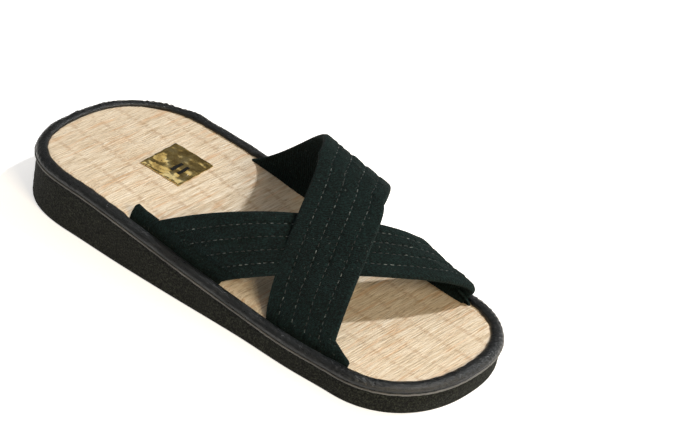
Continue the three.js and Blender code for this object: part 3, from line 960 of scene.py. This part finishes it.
# ---- the foil size tag -----------------------------------------------------------------------
TAG_CENTRE = (-62.0, 5.8)
TAG_SIZE = (24.3, 26.6)
TAG_TURN = math.radians(3.5)
TAG_LIFT = 0.55                    # the foil's middle plane above the mat
TAG_GRID = 60
TAG_THICKNESS = 0.22
TAG_WOBBLE = 0.12                  # unevenness of its cut edges
TAG_RIM = 0.49                     # the cut edges lie beyond this share of its size
CRUMPLES = [(0.16, 41, 7, 10), (0.07, 42, 9, 4.2)]     # height, seed, waves, lump size
RIDGE, RIDGE_SUNK, RIDGE_FIELD = 0.34, 0.2, (43, 5, 13)        # fields: seed, waves, lump size
RIDGE_STRETCH = 0.6
RIDGE_LOSS = 0.5                   # share of the ridges that gives way to the folds
FOLD_HEIGHT, FOLD_PITCH, FOLD_WANDER, FOLD_FIELD = 0.7, 3.6, 0.5, (45, 4, 9)
FOLD_ACROSS = (-0.58, 0.82)        # the folds follow one another this way
FOLD_SIDE = (-0.76, -0.65)         # and crease the half of the tag on this side
FOLD_EDGE = (2.0, 5.0)             # where the creased half begins
FOLD_SLANT = 0.3
FOLD_EDGE_WANDER, FOLD_EDGE_FIELD = 1.5, (44, 4, 6)
TAG_FLAT_EDGE = (-0.2, 1.6)        # the crumpling grows in from the edges over this distance
MARK_CENTRE = (3.6, -2.2)          # from the tag's centre
MARK_BARS = [-1.9, 1.9]
MARK_BAR = (1.7, 8.4)
MARK_GRID = 20
MARK_PROUD = 0.15


def tag_height(a, b):
    """The foil's face, a and b mm from its centre."""
    crumple = sum(high * wave_field(a, b, *waves) for high, *waves in CRUMPLES)
    ridges = RIDGE * np.abs(wave_field(a, b * RIDGE_STRETCH, *RIDGE_FIELD)) - RIDGE_SUNK
    away = FOLD_ACROSS[0] * a + FOLD_ACROSS[1] * b
    aside = FOLD_SIDE[0] * a + FOLD_SIDE[1] * b
    wander = FOLD_EDGE_WANDER * wave_field(a, b, *FOLD_EDGE_FIELD)
    creased = smooth(aside - FOLD_SLANT * away + wander, *FOLD_EDGE)
    phase = away / FOLD_PITCH + FOLD_WANDER * wave_field(a, b, *FOLD_FIELD)
    folds = FOLD_HEIGHT * (phase % 1 - 0.5)
    ridges = ridges * (1 - RIDGE_LOSS * creased) + folds * creased
    border = np.minimum(TAG_SIZE[0] / 2 - np.abs(a), TAG_SIZE[1] / 2 - np.abs(b))
    flat = foam_top(TAG_CENTRE[0] + a) + MAT_TOP + TAG_LIFT
    return flat + (crumple + ridges) * smooth(border, *TAG_FLAT_EDGE)


def tag_place(a, b):
    c, s = math.cos(TAG_TURN), math.sin(TAG_TURN)
    return TAG_CENTRE[0] + a * c - b * s, TAG_CENTRE[1] + a * s + b * c


def build_tag():
    side = np.linspace(-0.5, 0.5, TAG_GRID + 1)
    a, b = np.meshgrid(side * TAG_SIZE[0], side * TAG_SIZE[1], indexing="ij")
    shift_a = TAG_WOBBLE * np.sin(b * 0.9) * (np.abs(a) > TAG_SIZE[0] * TAG_RIM)
    shift_b = TAG_WOBBLE * np.sin(a * 0.8 + 1) * (np.abs(b) > TAG_SIZE[1] * TAG_RIM)
    x, y = tag_place(a + shift_a, b + shift_b)
    points, faces = thin_sheet(np.stack([x, y, tag_height(a, b)], -1), TAG_THICKNESS)
    return make_object("size_tag", points, faces, FOIL, 50)


def build_mark():
    """Two plain printed bars in the size's place."""
    points, faces = [], []
    at = 0
    side = np.linspace(-0.5, 0.5, MARK_GRID)
    for place in MARK_BARS:
        a, b = np.meshgrid(side * MARK_BAR[0] + place, side * MARK_BAR[1], indexing="ij")
        a, b = a + MARK_CENTRE[0], b + MARK_CENTRE[1]
        x, y = tag_place(a, b)
        top = np.stack([x, y, tag_height(a, b) + MARK_PROUD], -1)
        bar, sides = thin_sheet(top, 2 * MARK_PROUD)
        points.append(bar)
        faces += (sides + at).tolist()
        at += len(bar)
    return make_object("size_mark", np.concatenate(points), faces, INK, 40)


# ---- stage, in metres --------------------------------------------------------------------------
FLOOR_HALF = 6.0
FLOOR_GLOW = 0.58
CAMERA_PLACE = (0.5581, -0.7276, 0.6201)
CAMERA_RIGHT = (0.7566, 0.6403, 0.1340)
CAMERA_AHEAD = (-0.4877, 0.6884, -0.5380)
CAMERA_LENS, CAMERA_SENSOR = 123.07, 36.0    # in mm
KEY = dict(place=(0.48, 0.66, 1.0), energy=2.3, angle=math.radians(3.5), color=(0.99, 1.0, 1.0))
FILL = dict(place=(1.2, -0.45, 0.85), energy=17.0, size=0.5, color=(1.0, 0.83, 0.58))
SKY_LEVELS = [(0.0, 0.20), (0.60, 0.14), (0.76, 0.20), (0.84, 0.95), (1.0, 0.62)]
SKY_TINT = (1.0, 0.94, 0.87)
SKY_STRENGTH = 0.85


def build_floor():
    mesh = bpy.data.meshes.new("floor")
    corners = [(x * FLOOR_HALF, y * FLOOR_HALF, 0) for x, y in ((-1, -1), (1, -1), (1, 1), (-1, 1))]
    mesh.from_pydata(corners, [], [(0, 1, 2, 3)])
    n = Nodes("floor_white")
    n.set(Base_Color=n.ramp(n.noise(n.place, 3, 2), [(0.3, 0.86), (0.7, 0.88)]), Roughness=0.9)
    n.set(Emission_Color=(1, 1, 1, 1), Emission_Strength=FLOOR_GLOW)
    mesh.materials.append(n.material)
    link("floor", mesh)


def build_light(name, kind, place, **settings):
    """A lamp that shines on the origin from its place."""
    light = bpy.data.lights.new(name, kind)
    for key, value in settings.items():
        setattr(light, key, value)
    lamp = link(name, light)
    lamp.location = place
    lamp.rotation_euler = Vector(place).to_track_quat("Z", "Y").to_euler()


def build_sky():
    """Soft light, brightest over a ring high above."""
    world = bpy.data.worlds.new("studio")
    bpy.context.scene.world = world
    world.use_nodes = True
    tree = world.node_tree
    place = tree.nodes.new("ShaderNodeTexCoord")
    split = tree.nodes.new("ShaderNodeSeparateXYZ")
    ramp = tree.nodes.new("ShaderNodeValToRGB")
    line = ramp.color_ramp.elements
    while len(line) < len(SKY_LEVELS):
        line.new(0.5)
    for element, (at, level) in zip(line, SKY_LEVELS):
        element.position = at
        element.color = (*(level * c for c in SKY_TINT), 1)
    tree.links.new(place.outputs["Generated"], split.inputs[0])
    tree.links.new(split.outputs["Z"], ramp.inputs[0])
    tree.links.new(ramp.outputs[0], tree.nodes["Background"].inputs["Color"])
    tree.nodes["Background"].inputs["Strength"].default_value = SKY_STRENGTH


def build_camera():
    camera = link("camera", bpy.data.cameras.new("camera"))
    camera.data.lens = CAMERA_LENS
    camera.data.sensor_width = CAMERA_SENSOR
    camera.data.sensor_fit = "HORIZONTAL"
    right = Vector(CAMERA_RIGHT).normalized()
    back = -Vector(CAMERA_AHEAD).normalized()
    up = back.cross(right).normalized()
    right = up.cross(back).normalized()
    turn = Matrix((right, up, back)).transposed().to_4x4()
    camera.matrix_world = Matrix.Translation(CAMERA_PLACE) @ turn
    bpy.context.scene.camera = camera
    bpy.context.scene.view_settings.view_transform = "Standard"


build_floor()
build_light("key", "SUN", **KEY)
build_light("fill", "AREA", **FILL)
build_sky()
build_camera()
build_wedge()
build_binding()
build_mat()
build_strap("under")
build_strap("over")
build_stitches()
build_tag()
build_mark()
